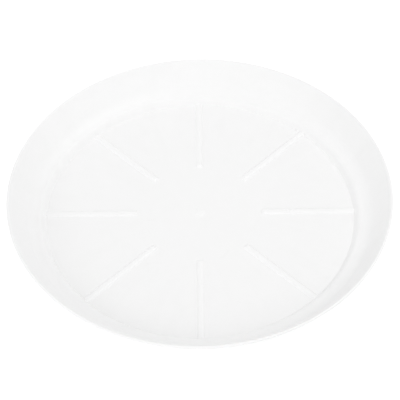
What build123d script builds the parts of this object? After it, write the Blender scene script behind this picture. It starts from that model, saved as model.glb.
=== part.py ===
from build123d import *
import os
from math import cos, radians, sin, tan

# A round moulded saucer that stands under a plant pot. Millimetres, +Z up.
# The origin is on the axis, at the level of the surface that the saucer stands on.
# It is one moulding: its floor, step, wall, lip, ribs and foot are kept as separate
# solids that meet face to face.

# The moulded skin, the same thickness in the floor and in the wall
skin_thick = 1.8

# The inside face, from the flat floor outwards and up
floor_radius = 121.7
step_run = 3.5
step_rise = 5.4
ledge_run = 8.3
ledge_rise = 1.9
wall_run = 12.6
wall_rise = 18.0

# The rounded corners of the inside face
step_foot_radius = 0.6
step_top_radius = 4.5
wall_sweep_radius = 15.0

# Where along the ledge the step ring ends and the wall begins, and how much of a
# straight a rounded corner may use up
ledge_joint_share = 0.24
straight_use_share = 0.92

# The lip, a thicker round edge that stands out from the wall
lip_thick = 2.4
lip_depth = 3.0
lip_heel_radius = 0.3

# The foot ring under the floor
foot_height = 1.5
foot_width = 4.0
foot_inset = 2.0
foot_draft_angle = 10.0
foot_edge_radius = 0.5

# The ribs that hold the pot off the floor
rib_count = 8
rib_start_radius = 49.0
rib_foot_width = 5.8
rib_height = 1.2
rib_draft_angle = 48.0
rib_top_corner_radius = 0.5
rib_edge_radius = 0.8

# The low round mark at the middle of the floor, where the moulding was filled
gate_radius = 4.3
gate_height = 0.5
gate_edge_radius = 0.3

# Points of the inside face, as radius and height
floor_top = foot_height + skin_thick
floor_joint = Vector(floor_radius - step_run, floor_top)
step_foot = Vector(floor_radius, floor_top)
step_top = step_foot + Vector(step_run, step_rise)
ledge_end = step_top + Vector(ledge_run, ledge_rise)
ledge_joint = step_top + (ledge_end - step_top) * ledge_joint_share
wall_end = ledge_end + Vector(wall_run, wall_rise)

# The wall's straight: up its slope, and square to it, away from the inside
wall_up = (wall_end - ledge_end).normalized()
wall_out = Vector(wall_up.Y, -wall_up.X)


def corner_radius(wanted, start, corner, end, before_share, after_share):
    """The wanted radius at a corner, or the largest that its two straights leave room for."""
    turn = (corner - start).get_angle(end - corner)
    room = min((corner - start).length * before_share, (end - corner).length * after_share)
    return min(wanted, room / tan(radians(turn / 2)))


def skin_outline(points, radii):
    """Outline the skin's section from the line of its inside face and its corner radii."""
    legs = [(end - start).normalized() for start, end in zip(points, points[1:])]
    outward = [Vector(leg.Y, -leg.X) for leg in legs]
    outer_points = [points[0] + outward[0] * skin_thick]
    outer_radii = []
    for corner, before, after, radius in zip(points[1:], outward, outward[1:], radii):
        outer_points.append(corner + (before + after) * (skin_thick / (1 + before.dot(after))))
        turns_inward = before.cross(after).Z > 0
        outer_radii.append(radius + skin_thick if turns_inward else max(radius - skin_thick, 0))
    outer_points.append(points[-1] + outward[-1] * skin_thick)
    inside = FilletPolyline(points, radius=radii)
    outside = FilletPolyline(outer_points, radius=outer_radii)
    Line(inside @ 0, outside @ 0)
    Line(inside @ 1, outside @ 1)


step_foot_round = corner_radius(
    step_foot_radius, floor_joint, step_foot, step_top, straight_use_share, straight_use_share / 2
)
step_top_round = corner_radius(
    step_top_radius, step_foot, step_top, ledge_joint, straight_use_share / 2, straight_use_share
)
wall_sweep_round = corner_radius(
    wall_sweep_radius, ledge_joint, ledge_end, wall_end, straight_use_share, straight_use_share
)

# The inside lines of the step ring and of the side wall, with a radius for each corner
step_points = [floor_joint, step_foot, step_top, ledge_joint]
step_radii = [step_foot_round, step_top_round]
wall_points = [ledge_joint, ledge_end, wall_end]
wall_radii = [wall_sweep_round]

parts = {}

# Floor: a flat disc, out to just short of the step
with BuildPart() as floor_disc:
    with BuildSketch(Plane.XY.offset(foot_height)):
        Circle(floor_joint.X)
    extrude(amount=skin_thick)
parts["floor_disc"] = floor_disc

# Step ring: the rim of the floor, the short steep rise and the start of the ledge
with BuildPart() as step_ring:
    with BuildSketch(Plane.XZ):
        with BuildLine():
            skin_outline(step_points, step_radii)
        make_face()
    revolve(axis=Axis.Z)
parts["step_ring"] = step_ring

# Side wall: the rest of the ledge, sweeping up into the straight flared wall
with BuildPart() as side_wall:
    with BuildSketch(Plane.XZ):
        with BuildLine():
            skin_outline(wall_points, wall_radii)
        make_face()
    revolve(axis=Axis.Z)
parts["side_wall"] = side_wall

# Lip: flush with the wall inside, proud of it outside, with a fully round top
lip_plane = Plane(
    origin=(wall_end.X, 0, wall_end.Y),
    x_dir=(wall_out.X, 0, wall_out.Y),
    z_dir=Plane.XZ.z_dir,
)
with BuildPart() as rim_lip:
    with BuildSketch(lip_plane):
        Rectangle(lip_thick, lip_depth, align=(Align.MIN, Align.MIN))
        with Locations((lip_thick / 2, lip_depth)):
            Circle(lip_thick / 2)
        fillet(vertices().sort_by_distance((lip_thick, 0))[0], radius=lip_heel_radius)
    revolve(axis=Axis.Z)
parts["rim_lip"] = rim_lip

# Foot ring: a drafted ring under the edge of the floor, which the saucer stands on
foot_outer_radius = floor_joint.X - foot_inset
with BuildPart() as foot_ring:
    with BuildSketch(Plane.XY.offset(foot_height)):
        Circle(foot_outer_radius)
        Circle(foot_outer_radius - foot_width, mode=Mode.SUBTRACT)
    extrude(amount=-foot_height, taper=foot_draft_angle)
    fillet(faces().sort_by(Axis.Z)[0].edges(), radius=foot_edge_radius)
parts["foot_ring"] = foot_ring

# Gate mark: a low round pad on the middle of the floor
with BuildPart() as gate_mark:
    with BuildSketch(Plane.XY.offset(floor_top)):
        Circle(gate_radius)
    extrude(amount=gate_height)
    fillet(faces().sort_by(Axis.Z)[-1].edges(), radius=gate_edge_radius)
parts["gate_mark"] = gate_mark

# The space inside the step, which the ribs' outer ends are cut to
with BuildPart() as step_hollow:
    with BuildSketch(Plane.XZ):
        with BuildLine():
            FilletPolyline(step_points, radius=step_radii)
            Polyline(ledge_joint, (0, ledge_joint.Y), (0, floor_joint.Y), floor_joint)
        make_face()
    revolve(axis=Axis.Z)

# Pot ribs: drafted bars on the floor, each dying into the step at its outer end
rib_length = step_top.X - rib_start_radius
rib_corner_radius = rib_top_corner_radius + rib_height * tan(radians(rib_draft_angle))
for index in range(rib_count):
    azimuth = radians(index * 360 / rib_count)
    along = (cos(azimuth), sin(azimuth), 0)
    with BuildPart() as pot_rib:
        with BuildSketch(Plane(origin=(0, 0, floor_top), x_dir=along)):
            with Locations((rib_start_radius + rib_length / 2, 0)):
                RectangleRounded(rib_length, rib_foot_width, rib_corner_radius)
        extrude(amount=rib_height, taper=rib_draft_angle)
        fillet(faces().sort_by(Axis.Z)[-1].edges(), radius=rib_edge_radius)
        add(step_hollow.part, mode=Mode.INTERSECT)
    parts[f"pot_rib_{index + 1}"] = pot_rib

os.makedirs("parts", exist_ok=True)
for name, piece in parts.items():
    piece.part.label = name
    export_step(piece.part, f"parts/{name}.step")
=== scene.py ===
"""The looks of a round white moulded plant saucer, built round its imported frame.

Lengths are metres, +Z is up, and the origin is on the saucer's axis at the level that
its foot ring stands on. The shell, the ribs and the mark at the middle of the floor are
grown by geometry trees from the sizes in the property groups below.
"""

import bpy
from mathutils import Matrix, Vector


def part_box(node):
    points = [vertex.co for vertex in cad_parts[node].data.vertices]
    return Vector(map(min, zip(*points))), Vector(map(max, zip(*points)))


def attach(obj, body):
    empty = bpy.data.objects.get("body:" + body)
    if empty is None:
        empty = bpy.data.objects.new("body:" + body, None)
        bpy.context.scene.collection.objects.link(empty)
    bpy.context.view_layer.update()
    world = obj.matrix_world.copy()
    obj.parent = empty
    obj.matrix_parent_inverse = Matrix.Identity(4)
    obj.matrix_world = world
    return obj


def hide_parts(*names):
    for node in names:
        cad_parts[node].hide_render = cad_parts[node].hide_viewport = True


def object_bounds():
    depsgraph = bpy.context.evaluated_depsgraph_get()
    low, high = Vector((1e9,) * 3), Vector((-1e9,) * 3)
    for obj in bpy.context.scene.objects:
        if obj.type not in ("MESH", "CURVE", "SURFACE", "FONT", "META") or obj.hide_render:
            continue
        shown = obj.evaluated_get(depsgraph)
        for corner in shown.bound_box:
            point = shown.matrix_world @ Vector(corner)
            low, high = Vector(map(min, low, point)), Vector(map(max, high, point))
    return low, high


bl_info = {
    "name": "Plant saucer",
    "version": (1, 0, 0),
    "blender": (4, 5, 0),
    "location": "View3D > Sidebar > Saucer",
    "description": "Builds a white moulded plant saucer with a stepped floor and pot ribs",
    "category": "Add Mesh",
}

from math import cos, pi, radians, sin

import bpy
from bpy.props import FloatProperty, FloatVectorProperty, IntProperty, PointerProperty
from bpy.types import Operator, Panel, PropertyGroup
from mathutils import Matrix, Vector

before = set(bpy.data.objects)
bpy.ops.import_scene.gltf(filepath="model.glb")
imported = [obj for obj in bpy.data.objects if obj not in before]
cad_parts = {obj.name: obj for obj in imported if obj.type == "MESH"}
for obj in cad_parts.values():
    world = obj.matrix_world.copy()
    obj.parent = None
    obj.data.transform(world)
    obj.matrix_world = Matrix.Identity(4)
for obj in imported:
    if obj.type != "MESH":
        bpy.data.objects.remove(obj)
cad_low, cad_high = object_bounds()

floor_low, floor_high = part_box("floor_disc")
rib_low, rib_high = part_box("pot_rib_1")
gate_low, gate_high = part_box("gate_mark")
_, foot_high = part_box("foot_ring")

BODY = "root"
SHELL_NODES = ("floor_disc", "step_ring", "side_wall", "rim_lip", "foot_ring")
RIB_NODES = tuple(name for name in sorted(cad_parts) if name.startswith("pot_rib_"))

# The step round the floor, which the skin, the ribs and the painted shade in its corner all follow
FLOOR_RADIUS = 0.1217
STEP_RUN = 0.0035
STEP_RISE = 0.0054


# Settings


def length(name, description, default):
    """A property that holds a length in metres."""
    return FloatProperty(
        name=name, description=description, default=default, min=0.0, precision=6,
        unit="LENGTH", subtype="DISTANCE",
    )


def angle(name, description, degrees):
    """A property that holds an angle."""
    return FloatProperty(
        name=name, description=description, default=radians(degrees), subtype="ANGLE"
    )


def share(name, description, default, high=1.0):
    """A property that holds a share or a plain level."""
    return FloatProperty(
        name=name, description=description, default=default, min=0.0, max=high, subtype="FACTOR"
    )


def count(name, description, default):
    """A property that holds a whole number."""
    return IntProperty(name=name, description=description, default=default, min=1)


def rgb(name, description, default):
    """A property that holds a colour."""
    return FloatVectorProperty(
        name=name, description=description, default=default, size=3, min=0.0, max=1.0,
        subtype="COLOR",
    )


class ShellSizes(PropertyGroup):
    """Sizes of the turned section of the saucer."""

    floor_radius: length("Floor radius", "Where the flat floor meets the step", FLOOR_RADIUS)
    skin: length("Skin", "Thickness of the floor and of the wall", floor_high.z - floor_low.z)
    foot_height: length("Foot height", "How far the floor is held off the ground", floor_low.z)
    step_run: length("Step run", "How far the step goes outwards", STEP_RUN)
    step_rise: length("Step rise", "How far the step goes up", STEP_RISE)
    ledge_run: length("Ledge run", "How far the ledge goes outwards", 0.0083)
    ledge_rise: length("Ledge rise", "How far the ledge goes up", 0.0019)
    wall_run: length("Wall run", "How far the wall goes outwards, up to the lip", 0.0126)
    wall_rise: length("Wall rise", "How far the wall goes up, up to the lip", 0.0180)
    step_foot_radius: length("Step foot radius", "Rounding between floor and step", 0.0006)
    step_top_radius: length("Step top radius", "Rounding between step and ledge", 0.0045)
    sweep_radius: length("Sweep radius", "Rounding between ledge and wall", 0.015)
    lip_thick: length("Lip thickness", "Thickness of the rim", 0.0024)
    lip_depth: length("Lip depth", "Height of the rim below its round top, along the wall", 0.0030)
    lip_heel_radius: length("Lip heel radius", "Rounding under the rim, outside", 0.0003)
    foot_outer: length("Foot outer radius", "Outside of the foot ring", foot_high.x)
    foot_width: length("Foot width", "Width of the foot ring where it leaves the floor", 0.004)
    foot_draft: angle("Foot draft", "Slope of the foot ring's sides", 10.0)
    foot_edge_radius: length("Foot edge radius", "Rounding of the foot ring", 0.0005)
    dimple_radius: length("Dimple radius", "Hollow under the middle of the floor", 0.0052)
    dimple_flat_radius: length("Dimple flat radius", "Flat part of that hollow", 0.00468)
    dimple_depth: length("Dimple depth", "Depth of that hollow", 0.0004)
    dimple_edge_radius: length("Dimple edge radius", "Rounding of that hollow", 0.0003)
    around: count("Steps around", "Number of faces round the saucer", 256)
    corner_steps: count("Corner steps", "Number of faces in each rounded corner", 10)


class RibSizes(PropertyGroup):
    """Sizes of the ribs that hold the pot off the floor."""

    rib_count: count("Rib count", "Number of ribs round the floor", len(RIB_NODES))
    start: length("Rib start", "Distance of a rib's inner end from the axis", rib_low.x)
    width: length("Rib width", "Width of a rib at the floor", rib_high.y - rib_low.y)
    height: length("Rib height", "Height of a rib above the floor", rib_high.z - rib_low.z)
    floor_level: length("Floor level", "Height of the floor's upper face", floor_high.z)
    draft: angle("Rib draft", "Slope of a rib's sides away from upright", 48.0)
    edge_blend: length("Edge blend", "Height over which the top edges are rounded", 0.0008)
    root_blend: length("Root blend", "Height over which a rib melts into the floor", 0.0003)
    root_reach: length("Root reach", "How far the melted root goes out over the floor", 0.0003)
    step_foot: length("Step foot", "Radius at which the step starts", FLOOR_RADIUS)
    step_run: length("Step run", "How far the step goes outwards", STEP_RUN)
    step_rise: length("Step rise", "How far the step goes up", STEP_RISE)
    bite: length("Bite", "How far a rib goes into the step's skin", 0.0006)
    sink: length("Sink", "How far a rib's bottom lies below the floor's face", 0.0003)
    along_steps: count("Steps along", "Number of points along a rib", 44)
    across_steps: count("Steps across", "Number of points across a rib", 32)


class GateSizes(PropertyGroup):
    """Sizes of the low round mark at the middle of the floor."""

    radius: length("Gate radius", "Radius of the mark", gate_high.x)
    height: length("Gate height", "Height of the mark above the floor", gate_high.z - gate_low.z)
    floor_level: length("Floor level", "Height of the floor's upper face", gate_low.z)
    flat_radius: length("Flat radius", "Radius of the mark's flat top", 0.0024)
    shoulder_radius: length("Shoulder radius", "Rounding between flat top and slope", 0.004)
    nib_radius: length("Nib radius", "Radius of the trimmed stub in the middle", 0.0012)
    nib_height: length("Nib height", "Height of that stub above the flat top", 0.0001)
    nib_edge_radius: length("Nib edge radius", "Rounding of the stub's edge", 0.0003)
    sink: length("Sink", "How far the mark's bottom lies below the floor's face", 0.0003)
    around: count("Steps around", "Number of faces round the mark", 64)
    corner_steps: count("Corner steps", "Number of faces in each rounded corner", 5)


class PlasticFinish(PropertyGroup):
    """Colour and surface of the moulded plastic."""

    colour: rgb("Plastic colour", "Colour of the clean plastic", (0.92, 0.92, 0.92))
    # This shade colour also carries the painted shade in the step's inside corner
    shade: rgb("Plastic shade", "Colour where the plastic is least even", (0.84, 0.84, 0.835))
    pale_colour: rgb(
        "Pale colour", "Colour where the plastic is rubbed or stressed", (0.93, 0.93, 0.93)
    )
    roughness: share("Roughness", "Roughness of the moulded face", 0.42)
    grain_size: length("Grain size", "Width of one grain of the moulded face", 0.0006)
    grain_depth: length("Grain depth", "Height of the grain", 0.0000016)
    ring_spacing: length("Ring spacing", "Distance between turned rings", 0.0009)
    ring_depth: length("Ring depth", "Height of the turned rings", 0.0000007)


class StageLook(PropertyGroup):
    """The floor that the saucer stands on, and the light."""

    floor_colour: rgb("Floor colour", "Colour of the studio floor", (0.93, 0.93, 0.93))
    floor_radius: length("Stage radius", "Radius of the studio floor", 4.0)
    floor_lift: share("Floor lift", "How much the floor's own white adds for the camera", 0.34)
    world_level: share("World level", "Strength of the light from all round", 0.755, 4.0)
    lamp_level: share("Lamp level", "Common factor on all the lamps", 1.0, 4.0)


SETTINGS = {
    "saucer_shell": ShellSizes,
    "saucer_ribs": RibSizes,
    "saucer_gate": GateSizes,
    "saucer_plastic": PlasticFinish,
    "saucer_stage": StageLook,
}


def sizes_of(settings):
    """(identifier, property) of each value in a property group."""
    own = settings.bl_rna.properties
    return [(p.identifier, p) for p in own if p.identifier not in ("rna_type", "name")]


# Node trees


WHITE = (1.0, 1.0, 1.0, 1.0)
NUMBER, PLACE, MESH = "NodeSocketFloat", "NodeSocketVector", "NodeSocketGeometry"


class Wire:
    """An output of a node, with arithmetic that adds the Math nodes it stands for."""

    def __init__(self, net, socket):
        self.net, self.socket = net, socket

    def __add__(self, other):
        return self.net.math("ADD", self, other)

    def __radd__(self, other):
        return self.net.math("ADD", other, self)

    def __sub__(self, other):
        return self.net.math("SUBTRACT", self, other)

    def __rsub__(self, other):
        return self.net.math("SUBTRACT", other, self)

    def __mul__(self, other):
        return self.net.math("MULTIPLY", self, other)

    def __rmul__(self, other):
        return self.net.math("MULTIPLY", other, self)

    def __truediv__(self, other):
        return self.net.math("DIVIDE", self, other)

    def __rtruediv__(self, other):
        return self.net.math("DIVIDE", other, self)

    def __neg__(self):
        return self.net.math("MULTIPLY", self, -1.0)


class Net:
    """A node tree as it grows: adds nodes, joins them and lays them out in columns."""

    COLUMN, ROW = 190, 170

    def __init__(self, tree):
        self.tree = tree
        self.columns = {}
        self.rows = {}

    def node(self, kind, feeds=None, **settings):
        """Add a node, with its settings and with a value or a wire for each named input."""
        made = self.tree.nodes.new(kind)
        for name, value in settings.items():
            setattr(made, name, value)
        column = 0
        for key, value in (feeds or {}).items():
            self.feed(made.inputs[key], value)
            if isinstance(value, Wire):
                column = max(column, self.columns[value.socket.node.name] + 1)
        row = self.rows.get(column, 0)
        self.columns[made.name], self.rows[column] = column, row + 1
        made.location = (column * self.COLUMN, -row * self.ROW)
        return made

    def feed(self, inlet, value):
        """Give a node's input a wire or a plain value."""
        if isinstance(value, Wire):
            self.tree.links.new(value.socket, inlet)
        else:
            inlet.default_value = value

    def wire(self, kind, feeds=None, out=0, **settings):
        """Add a node and return one of its outputs."""
        return Wire(self, self.node(kind, feeds, **settings).outputs[out])

    def group(self, tree, feeds):
        """Place a node group, and return its outputs by name."""
        made = self.node(tree.bl_idname.replace("Tree", "Group"), feeds, node_tree=tree)
        return {socket.name: Wire(self, socket) for socket in made.outputs}

    def math(self, operation, *values, clamp=False):
        feeds = dict(enumerate(values))
        return self.wire("ShaderNodeMath", feeds, operation=operation, use_clamp=clamp)

    def hypotenuse(self, one, other):
        """The length of a step that goes one across and the other up."""
        return self.math("SQRT", one * one + other * other)

    def rise(self, value, low, high):
        """0 up to low and 1 from high on, with a smooth change between."""
        feeds = {"Value": value, "From Min": low, "From Max": high}
        return self.wire("ShaderNodeMapRange", feeds, interpolation_type="SMOOTHSTEP")

    def point(self, x, y, z):
        return self.wire("ShaderNodeCombineXYZ", {"X": x, "Y": y, "Z": z})

    def parts(self, vector):
        """The three numbers of a vector."""
        split = self.node("ShaderNodeSeparateXYZ", {0: vector})
        return [Wire(self, split.outputs[axis]) for axis in "XYZ"]

    def sum(self, one, other):
        """Two vectors added."""
        return self.wire("ShaderNodeVectorMath", {0: one, 1: other}, operation="ADD")

    def scaled(self, vector, factor):
        """A vector times a number."""
        return self.wire(
            "ShaderNodeVectorMath", {0: vector, "Scale": factor}, operation="SCALE"
        )


def open_group(name, kind, inlets, outlets):
    """A new node group with named inputs and outputs. Returns its net and its input wires."""
    tree = bpy.data.node_groups.new(name, kind)
    for label, (socket_kind, default) in inlets.items():
        socket = tree.interface.new_socket(label, in_out="INPUT", socket_type=socket_kind)
        if default is not None:
            socket.default_value = default
    for label, socket_kind in outlets.items():
        tree.interface.new_socket(label, in_out="OUTPUT", socket_type=socket_kind)
    net = Net(tree)
    inlet = net.node("NodeGroupInput")
    return net, {label: Wire(net, inlet.outputs[label]) for label in inlets}


def shared(maker):
    """Have a node group built once: the first call makes it and later ones find it."""
    name = maker.__name__.replace("_", " ").capitalize()

    def find_or_make():
        return bpy.data.node_groups.get(name) or maker(name)

    return find_or_make


def open_sized_tree(name, settings):
    """A geometry tree with one named input for each size in a property group."""
    inlets = {"Geometry": (MESH, None)}
    for _, prop in sizes_of(settings):
        kind = "NodeSocketInt" if prop.type == "INT" else NUMBER
        inlets[prop.name] = (kind, prop.default)
    inlets["Material"] = ("NodeSocketMaterial", None)
    net, wires = open_group(name, "GeometryNodeTree", inlets, {"Geometry": MESH})
    named = {identifier: wires[prop.name] for identifier, prop in sizes_of(settings)}
    return net, named, wires["Material"]


def close_tree(net, geometry, material):
    """End a geometry tree with whole geometry in one material, and return it."""
    whole = net.wire("GeometryNodeRealizeInstances", {"Geometry": geometry})
    painted = net.wire("GeometryNodeSetMaterial", {"Geometry": whole, "Material": material})
    net.node("NodeGroupOutput", {"Geometry": painted})
    return net.tree


def grow(name, tree, settings, material):
    """Evaluate a geometry tree with the sizes of a property group, as a plain mesh object."""
    grown = bpy.data.objects.new(name, bpy.data.meshes.new(name))
    bpy.context.scene.collection.objects.link(grown)
    modifier = grown.modifiers.new(name, "NODES")
    modifier.node_group = tree
    values = {prop.name: getattr(settings, identifier) for identifier, prop in sizes_of(settings)}
    values["Material"] = material
    for item in tree.interface.items_tree:
        if item.in_out == "INPUT" and item.name in values:
            modifier[item.identifier] = values[item.name]
    depsgraph = bpy.context.evaluated_depsgraph_get()
    mesh = bpy.data.meshes.new_from_object(grown.evaluated_get(depsgraph))
    grown.modifiers.remove(modifier)
    grown.data = mesh
    mesh.name = name
    if not mesh.polygons:
        raise RuntimeError(f"the tree of {name} made no faces")
    # One slot for the one material, without the empty slot that instances bring
    mesh.materials.clear()
    mesh.materials.append(material)
    mesh.polygons.foreach_set("material_index", [0] * len(mesh.polygons))
    return grown


def shaded(net, mesh, sharp_above):
    """A mesh with smooth shading, broken at the edges that bend by more than an angle."""
    smooth = net.wire("GeometryNodeSetShadeSmooth", {"Geometry": mesh, "Shade Smooth": True})
    bend = net.wire("GeometryNodeInputMeshEdgeAngle")
    sharp = net.math("GREATER_THAN", bend, sharp_above)
    feeds = {"Geometry": smooth, "Selection": sharp, "Shade Smooth": False}
    return net.wire("GeometryNodeSetShadeSmooth", feeds, domain="EDGE")


# The turned section


class Spot:
    """A point or a heading in a section, as radius and height, in wires or plain numbers."""

    def __init__(self, net, r, z):
        self.net, self.r, self.z = net, r, z

    def moved(self, heading, distance):
        return Spot(self.net, self.r + heading.r * distance, self.z + heading.z * distance)

    def towards(self, other):
        """The heading from here to another point, of length 1."""
        run, rise = other.r - self.r, other.z - self.z
        size = self.net.hypotenuse(run, rise)
        return Spot(self.net, run / size, rise / size)

    def outward(self):
        """This heading turned a quarter to the right: away from the dish's inside."""
        return Spot(self.net, self.z, -self.r)


def pick(net, index, values, data_type):
    """The one of some values whose place in their order is the index."""
    switch = net.node("GeometryNodeIndexSwitch", data_type=data_type)
    while len(switch.index_switch_items) < len(values):
        switch.index_switch_items.new()
    net.feed(switch.inputs["Index"], index)
    for number, value in enumerate(values):
        net.feed(switch.inputs[str(number)], value)
    return Wire(net, switch.outputs[0])


def draw_section(net, corners, corner_steps):
    """A line through the corners, in order, each one rounded by its own radius."""
    line = net.wire("GeometryNodeMeshLine", {"Count": len(corners)})
    line = net.wire("GeometryNodeMeshToCurve", {"Mesh": line})
    index = net.wire("GeometryNodeInputIndex")
    places = pick(net, index, [net.point(spot.r, spot.z, 0.0) for spot, _ in corners], "VECTOR")
    radii = pick(net, index, [radius for _, radius in corners], "FLOAT")
    line = net.wire("GeometryNodeSetPosition", {"Geometry": line, "Position": places})
    feeds = {"Curve": line, "Count": corner_steps, "Radius": radii, "Limit Radius": True}
    return net.wire("GeometryNodeFilletCurve", feeds, mode="POLY")


@shared
def turned_skin(name):
    """Turns a section round the axis into a closed, smooth skin."""
    # The section is swept along a small circle, and moved in by the circle's radius. The
    # circle turns it upside down, so it is turned over first.
    hub = 0.1
    weld = 0.000001
    inlets = {
        "Section": (MESH, None),
        "Steps around": ("NodeSocketInt", 64),
        "Sharp above": (NUMBER, radians(50.0)),
    }
    net, inlet = open_group(name, "GeometryNodeTree", inlets, {"Mesh": MESH})
    feeds = {"Geometry": inlet["Section"], "Translation": (-hub, 0.0, 0.0),
             "Scale": (1.0, -1.0, 1.0)}
    section = net.wire("GeometryNodeTransform", feeds)
    path = net.wire(
        "GeometryNodeCurvePrimitiveCircle", {"Resolution": inlet["Steps around"], "Radius": hub}
    )
    skin = net.wire("GeometryNodeCurveToMesh", {"Curve": path, "Profile Curve": section})
    skin = net.wire("GeometryNodeMergeByDistance", {"Geometry": skin, "Distance": weld})
    net.node("NodeGroupOutput", {"Mesh": shaded(net, skin, inlet["Sharp above"])})
    return net.tree


def close_turned(net, corners, size, material):
    """End a tree with the skin that a section makes when it is turned round the axis."""
    section = draw_section(net, corners, size["corner_steps"])
    turned = net.group(turned_skin(), {"Section": section, "Steps around": size["around"]})
    return close_tree(net, turned["Mesh"], material)


def shell_tree(settings):
    """The saucer's skin: floor, step, ledge, wall, rim and foot ring in one closed section."""
    net, size, material = open_sized_tree("Saucer shell", settings)
    # The straight that is left between a rounded corner and the point before or after it
    guard = 0.0004
    # The rim's two rounds would meet at its top, so each stops just short of its middle
    lip_round_share = 0.999
    # The rounding where the heel meets the wall, as a share of the heel's own
    throat_round_share = 0.8

    under = size["foot_height"]
    floor_top = size["foot_height"] + size["skin"]
    middle = Spot(net, 0.0, floor_top)
    step_foot = Spot(net, size["floor_radius"], floor_top)
    step_top = Spot(net, step_foot.r + size["step_run"], step_foot.z + size["step_rise"])
    ledge_end = Spot(net, step_top.r + size["ledge_run"], step_top.z + size["ledge_rise"])
    wall_end = Spot(net, ledge_end.r + size["wall_run"], ledge_end.z + size["wall_rise"])

    # The headings of floor, step, ledge and wall, from the inside outwards, and two back
    level = Spot(net, 1.0, 0.0)
    up_step = step_foot.towards(step_top)
    up_ledge = step_top.towards(ledge_end)
    up_wall = ledge_end.towards(wall_end)
    back = Spot(net, -1.0, 0.0)
    down_wall = wall_end.towards(ledge_end)

    def outer(corner, before, after):
        """The corner on the outside of the skin that faces a corner on the inside."""
        a, b = before.outward(), after.outward()
        reach = size["skin"] / (a.r * b.r + a.z * b.z + 1.0)
        return Spot(net, corner.r + (a.r + b.r) * reach, corner.z + (a.z + b.z) * reach)

    # The rim: a full round of half its thickness, on a band that stands out from the wall
    half_lip = size["lip_thick"] * 0.5
    lip_round = half_lip * lip_round_share
    lip_in = wall_end.moved(up_wall, size["lip_depth"] + half_lip)
    lip_out = lip_in.moved(up_wall.outward(), size["lip_thick"])
    heel = wall_end.moved(up_wall.outward(), size["lip_thick"])
    heel_round = size["lip_heel_radius"]
    throat = wall_end.moved(up_wall.outward(), size["skin"])

    # The outside of the step
    outer_step_foot = outer(step_foot, level, up_step)
    outer_step_foot_round = size["step_foot_radius"] + size["skin"]

    # The foot ring, drafted on both sides, and the hollow under the middle of the floor
    lean = net.math("TANGENT", size["foot_draft"]) * size["foot_height"]
    edge = size["foot_edge_radius"]
    foot_out = Spot(net, size["foot_outer"], under)
    foot_in = Spot(net, size["foot_outer"] - size["foot_width"], under)
    toe_out = Spot(net, foot_out.r - lean, 0.0)
    toe_in = Spot(net, foot_in.r + lean, 0.0)
    dimple_top = under + size["dimple_depth"]
    dimple = Spot(net, size["dimple_radius"], under)
    dimple_wall = Spot(net, size["dimple_flat_radius"], dimple_top)
    dimple_round = size["dimple_edge_radius"]

    corners = [
        (middle, 0.0),
        (step_foot.moved(back, size["step_foot_radius"] * 0.5 + guard), 0.0),
        (step_foot, size["step_foot_radius"]),
        (step_top, size["step_top_radius"]),
        (ledge_end, size["sweep_radius"]),
        (lip_in.moved(down_wall, half_lip + guard), 0.0),
        (lip_in, lip_round),
        (lip_out, lip_round),
        (lip_out.moved(down_wall, half_lip + guard), 0.0),
        (heel, heel_round),
        (throat, heel_round * throat_round_share),
        (throat.moved(down_wall, guard * 2.0), 0.0),
        (outer(ledge_end, up_ledge, up_wall), size["sweep_radius"] + size["skin"]),
        (outer(step_top, up_step, up_ledge), size["step_top_radius"] - size["skin"]),
        (outer_step_foot, outer_step_foot_round),
        (outer_step_foot.moved(back, size["step_foot_radius"] + size["skin"] * 0.5), 0.0),
        (foot_out.moved(level, edge + guard), 0.0),
        (foot_out, edge),
        (toe_out, edge),
        (toe_in, edge),
        (foot_in, edge),
        (foot_in.moved(back, edge + guard), 0.0),
        (dimple.moved(level, guard), 0.0),
        (dimple, dimple_round),
        (dimple_wall, dimple_round),
        (dimple_wall.moved(back, guard), 0.0),
        (Spot(net, 0.0, dimple_top), 0.0),
    ]
    return close_turned(net, corners, size, material)


def gate_tree(settings):
    """The low round mark where the moulding was filled: a soft swell with a trimmed stub."""
    net, size, material = open_sized_tree("Gate mark", settings)
    level = size["floor_level"]
    top = level + size["height"]
    flat = top - size["nib_height"]
    low = level - size["sink"]
    nib, edge = size["nib_radius"], size["nib_edge_radius"]
    corners = [
        (Spot(net, 0.0, top), 0.0),
        (Spot(net, nib, top), edge),
        (Spot(net, nib + size["nib_height"], flat), edge),
        (Spot(net, size["flat_radius"], flat), size["shoulder_radius"]),
        (Spot(net, size["radius"], level), 0.0),
        (Spot(net, size["radius"], low), 0.0),
        (Spot(net, 0.0, low), 0.0),
    ]
    return close_turned(net, corners, size, material)


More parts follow.
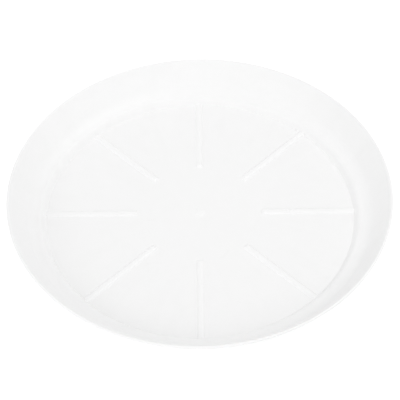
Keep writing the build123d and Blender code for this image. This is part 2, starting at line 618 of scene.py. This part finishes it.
def rib_tree(settings):
    """One drafted rib, rounded on top and melted into the floor, repeated round the axis."""
    net, size, material = open_sized_tree("Pot ribs", settings)
    sharp_above = radians(40.0)
    # How far below the floor's face the melted roots run out, as a share of the sink
    run_out_share = 0.2

    feeds = {"Size": (1.0, 1.0, 1.0), "Vertices X": size["along_steps"],
             "Vertices Y": size["across_steps"], "Vertices Z": 2}
    block = net.wire("GeometryNodeMeshCube", feeds)
    px, py, pz = net.parts(net.wire("GeometryNodeInputPosition"))

    # Across, the steps crowd towards the flanks. Along, they crowd towards the inner end.
    half = size["width"] * 0.5
    y = net.math("SINE", py * pi) * (half + size["root_reach"])
    advance = px + 0.5
    first = size["start"] - size["root_reach"]
    last = size["step_foot"] + size["step_run"]
    x = first + advance * advance * (last - first)

    # The height is the lowest of the flanks', the inner end's and the flat top's
    steep = net.math("TANGENT", size["draft"])
    flank = (half - net.math("ABSOLUTE", y)) / steep
    front = (x - size["start"]) / steep
    crest = net.math("SMOOTH_MIN", flank, front, size["edge_blend"])
    crest = net.math("SMOOTH_MIN", crest, size["height"], size["edge_blend"])
    crest = net.math("SMOOTH_MAX", crest, size["sink"] * -run_out_share, size["root_blend"])

    # The outer end stops inside the step's skin, whose face leans outwards
    on_top = net.math("GREATER_THAN", pz, 0.0)
    z = on_top * crest - (1.0 - on_top) * size["sink"]
    climb = net.math("MAXIMUM", z, 0.0) * (size["step_run"] / size["step_rise"])
    x = net.math("MINIMUM", x, size["step_foot"] + climb + size["bite"])
    feeds = {"Geometry": block, "Position": net.point(x, y, z + size["floor_level"])}
    rib = shaded(net, net.wire("GeometryNodeSetPosition", feeds), sharp_above)

    seats = net.wire("GeometryNodePoints", {"Count": size["rib_count"]})
    turn = net.wire("GeometryNodeInputIndex") * (2.0 * pi) / size["rib_count"]
    feeds = {"Points": seats, "Instance": rib, "Rotation": net.point(0.0, 0.0, turn)}
    return close_tree(net, net.wire("GeometryNodeInstanceOnPoints", feeds), material)


# Surface effects


def noise(net, place, scale, detail, roughness=0.5, out=0):
    """Soft noise from 0 to 1, or its three channels with out=1."""
    feeds = {"Vector": place, "Scale": scale, "Detail": detail, "Roughness": roughness}
    return net.wire("ShaderNodeTexNoise", feeds, out=out)


def open_effect(name, inlets, outlets):
    """A shader node group that reads a place and puts out numbers."""
    inlets = {"Place": (PLACE, None), **{label: (NUMBER, value) for label, value in inlets.items()}}
    return open_group(name, "ShaderNodeTree", inlets, dict.fromkeys(outlets, NUMBER))


@shared
def moulded_grain(name):
    """Fine grain of a moulded face, with the wider unevenness of a thin skin."""
    net, inlet = open_effect(name, {"Size": 0.0006, "Depth": 0.000002}, ("Height", "Fleck"))
    # A grain's width as a share of a wide patch's, and a patch's depth in grain depths
    patch_share, patch_depth = 0.055, 3.0
    fine = noise(net, inlet["Place"], 1.0 / inlet["Size"], detail=2.0, roughness=0.55)
    wide = noise(net, inlet["Place"], patch_share / inlet["Size"], detail=3.0)
    height = ((fine - 0.5) + (wide - 0.5) * patch_depth) * inlet["Depth"]
    fleck = net.rise(wide, low=0.35, high=0.7)
    net.node("NodeGroupOutput", {"Height": height, "Fleck": fleck})
    return net.tree


@shared
def turned_rings(name):
    """Faint rings that the turned mould leaves round the axis, stronger in some bands."""
    net, inlet = open_effect(name, {"Spacing": 0.0009, "Depth": 0.000001}, ("Height", "Band"))
    x, y, z = net.parts(inlet["Place"])
    travel = net.hypotenuse(x, y) + z
    wave = net.math("SINE", travel * (2.0 * pi) / inlet["Spacing"])
    band = noise(net, net.point(travel, 0.0, 0.0), scale=160.0, detail=2.0)
    band = net.rise(band, low=0.45, high=0.75)
    net.node("NodeGroupOutput", {"Height": wave * band * inlet["Depth"], "Band": band})
    return net.tree


@shared
def flow_streaks(name):
    """Soft streaks that run out from the middle, along the way the plastic flowed."""
    inlets = {"Fineness": 9.0, "Start": 0.02, "End": 0.11}
    net, inlet = open_effect(name, inlets, ("Streak",))
    # A radius that can be divided by, and how much a streak changes along its length
    least_radius, drift = 0.001, 3.0
    x, y, _ = net.parts(inlet["Place"])
    radius = net.hypotenuse(x, y)
    safe = net.math("MAXIMUM", radius, least_radius)
    heading = net.point(x / safe, y / safe, radius * drift)
    streak = noise(net, heading, inlet["Fineness"], detail=3.0, roughness=0.6)
    reach = net.rise(radius, inlet["Start"], inlet["End"])
    net.node("NodeGroupOutput", {"Streak": net.rise(streak, low=0.42, high=0.72) * reach})
    return net.tree


@shared
def handling_marks(name):
    """Sparse fine scratches from stacking and handling."""
    net, inlet = open_effect(name, {"Spacing": 0.03, "Width": 0.012, "Amount": 0.5}, ("Mark",))
    # How far the scratches wander, and how soft the ends of their breaks are
    wander, fade = 0.05, 0.05
    bent = noise(net, inlet["Place"], scale=14.0, detail=1.0, out=1)
    place = net.sum(inlet["Place"], net.scaled(bent, wander))
    feeds = {"Vector": place, "Scale": 1.0 / inlet["Spacing"]}
    cells = net.wire("ShaderNodeTexVoronoi", feeds, feature="DISTANCE_TO_EDGE")
    line = 1.0 - net.rise(cells, 0.0, inlet["Width"])
    breaks = noise(net, inlet["Place"], scale=60.0, detail=2.0)
    kept = net.rise(breaks, 1.0 - inlet["Amount"], 1.0 + fade - inlet["Amount"])
    net.node("NodeGroupOutput", {"Mark": line * kept})
    return net.tree


@shared
def settled_dust(name):
    """Painted shade in an inside corner: a darker band round the crease, patchy along it."""
    inlets = {"Radius": FLOOR_RADIUS, "Spread": 0.004, "Level": 0.0033, "Depth": 0.003}
    net, inlet = open_effect(name, inlets, ("Crease shade",))
    x, y, z = net.parts(inlet["Place"])
    off = net.math("ABSOLUTE", net.hypotenuse(x, y) - inlet["Radius"]) / inlet["Spread"]
    high = net.math("ABSOLUTE", z - inlet["Level"]) / inlet["Depth"]
    near = 1.0 - net.rise(net.hypotenuse(off, high), 0.0, 1.0)
    patch = noise(net, inlet["Place"], scale=45.0, detail=4.0, roughness=0.6)
    net.node("NodeGroupOutput", {"Crease shade": near * net.rise(patch, low=0.3, high=0.75)})
    return net.tree


@shared
def rubbed_height(name):
    """Where things rub: the top of a piece, from one height to another."""
    net, inlet = open_effect(name, {"From": 0.0, "To": 0.001}, ("Rub",))
    _, _, z = net.parts(inlet["Place"])
    worn = net.rise(noise(net, inlet["Place"], scale=120.0, detail=3.0), low=0.3, high=0.6)
    net.node("NodeGroupOutput", {"Rub": net.rise(z, inlet["From"], inlet["To"]) * worn})
    return net.tree


# How much of a face has scratches, and how deep one is, in grain depths
SCRATCH_AMOUNT = 0.42
SCRATCH_DEPTH = 2.0

# How far flecks and the painted shade in the step's corner darken the plastic, and how much of all
# shade rubbing takes off
FLECK_SHADE = 0.06
CREASE_SHADE = 0.08
RUB_CLEANS = 0.7

# How far each effect roughens or smooths the face, and the smoothest that it gets
FLECK_ROUGHENS = 0.05
BAND_ROUGHENS = 0.03
MARK_ROUGHENS = 0.12
CREASE_ROUGHENS = 0.15
RUB_SMOOTHS = 0.08
LEAST_ROUGHNESS = 0.12

# How strongly the plastic bends light
PLASTIC_IOR = 1.49


def moulded_plastic(name, finish, colour, top, rub, streaks, marks, gloss):
    """White moulded plastic, with the shared effects set for one piece.

    colour is that of the clean plastic. rub gives the depths below the piece's top at which
    it starts to be rubbed smooth and from which it is rubbed all over. streaks and marks say
    how much of each shows, and gloss is taken off the roughness.
    """
    material = bpy.data.materials.new(name)
    material.use_nodes = True
    net = Net(material.node_tree)
    net.tree.nodes.clear()
    place = net.wire("ShaderNodeTexCoord", out="Object")

    grain = net.group(moulded_grain(), {
        "Place": place, "Size": finish.grain_size, "Depth": finish.grain_depth})
    rings = net.group(turned_rings(), {
        "Place": place, "Spacing": finish.ring_spacing, "Depth": finish.ring_depth})
    flow = net.group(flow_streaks(), {"Place": place})
    scratches = net.group(handling_marks(), {"Place": place, "Amount": SCRATCH_AMOUNT})
    # Painted shade that darkens the inside corner at the foot of the step
    crease_shade = net.group(settled_dust(), {"Place": place, "Level": floor_high.z})
    rub_starts, rub_full = rub
    rubbed = net.group(rubbed_height(), {
        "Place": place, "From": top - rub_starts, "To": top - rub_full})

    # Shade: a little in the flow streaks, flecks and scratches, plus painted shade in the step's
    # inside corner, and less of all of it where it is rubbed
    shade = flow["Streak"] * streaks + grain["Fleck"] * FLECK_SHADE
    shade = shade + scratches["Mark"] * marks + crease_shade["Crease shade"] * CREASE_SHADE
    shade = net.math("MULTIPLY", shade, 1.0 - rubbed["Rub"] * RUB_CLEANS, clamp=True)
    # For colours, the mix node's inputs are 6 and 7 and its output is 2
    mixed = {0: shade, 6: (*colour, 1.0), 7: (*finish.shade, 1.0)}
    tint = net.wire("ShaderNodeMix", mixed, out=2, data_type="RGBA")

    rough = finish.roughness - gloss + grain["Fleck"] * FLECK_ROUGHENS
    rough = rough + rings["Band"] * BAND_ROUGHENS + scratches["Mark"] * MARK_ROUGHENS
    rough = rough + crease_shade["Crease shade"] * CREASE_ROUGHENS - rubbed["Rub"] * RUB_SMOOTHS
    rough = net.math("MAXIMUM", rough, LEAST_ROUGHNESS)

    scratched = scratches["Mark"] * (finish.grain_depth * SCRATCH_DEPTH)
    height = grain["Height"] + rings["Height"] - scratched
    bump = net.wire("ShaderNodeBump", {"Strength": 1.0, "Distance": 1.0, "Height": height})
    surface = net.wire("ShaderNodeBsdfPrincipled", {
        "Base Color": tint, "Roughness": rough, "Normal": bump, "IOR": PLASTIC_IOR,
        "Metallic": 0.0})
    net.node("ShaderNodeOutputMaterial", {"Surface": surface})
    return material


# Pieces

# Depths below a piece's top at which it starts to be rubbed and is rubbed all over
RIM_RUB = (0.0016, 0.0004)
RIB_RUB = (0.0008, 0.0001)
GATE_RUB = (0.0003, 0.0)


def settle(piece, nodes):
    """Fix a finished piece to the frame, in place of its plain nodes."""
    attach(piece, BODY)
    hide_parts(*nodes)


class SAUCER_OT_shell(Operator):
    """Build the saucer's skin, from the floor to the rim and back under to the foot ring"""

    bl_idname = "saucer.shell"
    bl_label = "Build shell"

    def execute(self, context):
        settings, finish = context.scene.saucer_shell, context.scene.saucer_plastic
        material = moulded_plastic(
            "Moulded skin", finish, finish.colour, top=cad_high.z, rub=RIM_RUB,
            streaks=0.10, marks=0.16, gloss=0.0,
        )
        shell = grow("saucer_shell", shell_tree(settings), settings, material)
        settle(shell, SHELL_NODES)
        return {"FINISHED"}


class SAUCER_OT_ribs(Operator):
    """Build the ribs that hold a pot off the floor"""

    bl_idname = "saucer.ribs"
    bl_label = "Build ribs"

    def execute(self, context):
        settings, finish = context.scene.saucer_ribs, context.scene.saucer_plastic
        material = moulded_plastic(
            "Rubbed rib skin", finish, finish.pale_colour, top=rib_high.z, rub=RIB_RUB,
            streaks=0.06, marks=0.12, gloss=0.07,
        )
        ribs = grow("pot_ribs", rib_tree(settings), settings, material)
        settle(ribs, RIB_NODES)
        return {"FINISHED"}


class SAUCER_OT_gate_mark(Operator):
    """Build the low round mark at the middle of the floor"""

    bl_idname = "saucer.gate_mark"
    bl_label = "Build gate mark"

    def execute(self, context):
        settings, finish = context.scene.saucer_gate, context.scene.saucer_plastic
        material = moulded_plastic(
            "Trimmed gate skin", finish, finish.pale_colour, top=gate_high.z, rub=GATE_RUB,
            streaks=0.0, marks=0.1, gloss=0.04,
        )
        mark = grow("gate_pad", gate_tree(settings), settings, material)
        settle(mark, ("gate_mark",))
        return {"FINISHED"}


# Stage

# Where the camera stands and how it is turned, for a picture of 400 x 400 pixels. The turn
# swings it round the saucer's axis.
CAMERA_PLACE = Vector((0.00024, -0.6644, 0.7688))
CAMERA_TURN = radians(0.35)
CAMERA_PITCH = radians(48.48)
CAMERA_ROLL = radians(1.015)

# The camera's lens and sensor, in millimetres, and how near and far it sees, in metres
CAMERA_LENS = 114.8
CAMERA_SENSOR = 36.0
CAMERA_NEAR = 0.05
CAMERA_FAR = 50.0

# Each lamp: name, azimuth and elevation in degrees, distance and width in metres, watts
LAMPS = (
    ("Front lamp", 270.0, 35.0, 2.0, 0.8, 3.1),
    ("Low front left lamp", 240.0, 15.0, 2.0, 0.8, 3.0),
    ("Left lamp", 210.0, 35.0, 2.0, 0.8, 3.3),
    ("Low right lamp", 0.0, 15.0, 2.0, 0.8, 2.0),
    ("High back right lamp", 30.0, 60.0, 2.0, 0.8, 6.3),
)

# How many sides the round studio floor has
STAGE_SIDES = 96


def add_camera():
    """The camera, looking down at the saucer, rolled a little and then swung round it."""
    data = bpy.data.cameras.new("Main camera")
    data.lens, data.sensor_width = CAMERA_LENS, CAMERA_SENSOR
    data.clip_start, data.clip_end = CAMERA_NEAR, CAMERA_FAR
    camera = bpy.data.objects.new("Main camera", data)
    ahead = Vector((0.0, cos(CAMERA_PITCH), -sin(CAMERA_PITCH)))
    side, top = Vector((1.0, 0.0, 0.0)), Vector((0.0, sin(CAMERA_PITCH), cos(CAMERA_PITCH)))
    right = side * cos(CAMERA_ROLL) - top * sin(CAMERA_ROLL)
    up = side * sin(CAMERA_ROLL) + top * cos(CAMERA_ROLL)
    turned = Matrix((right, up, -ahead)).transposed().to_4x4()
    swung = Matrix.Rotation(CAMERA_TURN, 4, "Z")
    camera.matrix_world = swung @ Matrix.Translation(CAMERA_PLACE) @ turned
    bpy.context.scene.collection.objects.link(camera)
    bpy.context.scene.camera = camera


def add_lamp(name, azimuth, elevation, distance, width, watts):
    """A soft round lamp that faces the saucer."""
    data = bpy.data.lights.new(name, "AREA")
    data.shape, data.size, data.energy = "DISK", width, watts
    lamp = bpy.data.objects.new(name, data)
    around, above = radians(azimuth), radians(elevation)
    away = Vector((cos(around) * cos(above), sin(around) * cos(above), sin(above)))
    lamp.location = away * distance
    lamp.rotation_euler = away.to_track_quat("Z", "Y").to_euler()
    bpy.context.scene.collection.objects.link(lamp)


def seen_directly(net):
    """1 for rays that show a surface as it is: straight, mirrored or through something clear."""
    path = net.node("ShaderNodeLightPath")
    kinds = ("Is Camera Ray", "Is Glossy Ray", "Is Transmission Ray")
    straight, mirrored, through = (Wire(net, path.outputs[kind]) for kind in kinds)
    return net.math("MAXIMUM", net.math("MAXIMUM", straight, mirrored), through)


def add_world(look):
    """A white background that lights the saucer evenly, at its own lower level."""
    world = bpy.data.worlds.new("Studio")
    world.use_nodes = True
    net = Net(world.node_tree)
    net.tree.nodes.clear()
    shown = seen_directly(net)
    level = shown + (1.0 - shown) * look.world_level
    glow = net.wire("ShaderNodeBackground", {"Color": WHITE, "Strength": level})
    net.node("ShaderNodeOutputWorld", {"Surface": glow})
    bpy.context.scene.world = world


def studio_floor_material(look):
    """A pale floor that adds a little white of its own for the camera and keeps shadows."""
    material = bpy.data.materials.new("Studio floor")
    material.use_nodes = True
    net = Net(material.node_tree)
    net.tree.nodes.clear()
    paint = net.wire("ShaderNodeBsdfDiffuse", {"Color": (*look.floor_colour, 1.0)})
    lift = seen_directly(net) * look.floor_lift
    glow = net.wire("ShaderNodeEmission", {"Color": WHITE, "Strength": lift})
    lit = net.wire("ShaderNodeAddShader", {0: paint, 1: glow})
    clear = net.wire("ShaderNodeBsdfTransparent")
    below = net.wire("ShaderNodeNewGeometry", out="Backfacing")
    surface = net.wire("ShaderNodeMixShader", {0: below, 1: lit, 2: clear})
    net.node("ShaderNodeOutputMaterial", {"Surface": surface})
    return material


def add_floor(look):
    """A round studio floor under the saucer, seen only from above."""
    turns = [2.0 * pi * side / STAGE_SIDES for side in range(STAGE_SIDES)]
    rim = [(look.floor_radius * cos(t), look.floor_radius * sin(t), 0.0) for t in turns]
    mesh = bpy.data.meshes.new("Studio floor")
    mesh.from_pydata(rim, [], [list(range(STAGE_SIDES))])
    mesh.materials.append(studio_floor_material(look))
    floor = bpy.data.objects.new("Studio floor", mesh)
    bpy.context.scene.collection.objects.link(floor)


class SAUCER_OT_stage(Operator):
    """Set up the camera, the studio floor, the background and the lamps"""

    bl_idname = "saucer.stage"
    bl_label = "Set up stage"

    def execute(self, context):
        look = context.scene.saucer_stage
        context.scene.view_settings.view_transform = "Standard"
        add_camera()
        add_world(look)
        add_floor(look)
        for name, azimuth, elevation, distance, width, watts in LAMPS:
            add_lamp(name, azimuth, elevation, distance, width, watts * look.lamp_level)
        return {"FINISHED"}


# Panel and registration


class SAUCER_PT_panel(Panel):
    """Lists the sizes and the steps in the 3D view's sidebar"""

    bl_idname = "SAUCER_PT_panel"
    bl_label = "Plant saucer"
    bl_space_type = "VIEW_3D"
    bl_region_type = "UI"
    bl_category = "Saucer"

    def draw(self, context):
        for name, operators in PANEL_ROWS.items():
            box = self.layout.box()
            settings = getattr(context.scene, name)
            for identifier, _ in sizes_of(settings):
                box.prop(settings, identifier)
            for operator in operators:
                box.operator(operator.bl_idname)


PANEL_ROWS = {
    "saucer_shell": (SAUCER_OT_shell,),
    "saucer_ribs": (SAUCER_OT_ribs,),
    "saucer_gate": (SAUCER_OT_gate_mark,),
    "saucer_plastic": (),
    "saucer_stage": (SAUCER_OT_stage,),
}
CLASSES = (
    *SETTINGS.values(), SAUCER_OT_shell, SAUCER_OT_ribs, SAUCER_OT_gate_mark, SAUCER_OT_stage,
    SAUCER_PT_panel,
)


def register():
    for kind in CLASSES:
        bpy.utils.register_class(kind)
    for name, kind in SETTINGS.items():
        setattr(bpy.types.Scene, name, PointerProperty(type=kind))


def unregister():
    for name in SETTINGS:
        delattr(bpy.types.Scene, name)
    for kind in reversed(CLASSES):
        bpy.utils.unregister_class(kind)


def main():
    register()
    bpy.ops.saucer.stage()
    bpy.ops.saucer.shell()
    bpy.ops.saucer.ribs()
    bpy.ops.saucer.gate_mark()


if __name__ == "__main__":
    main()
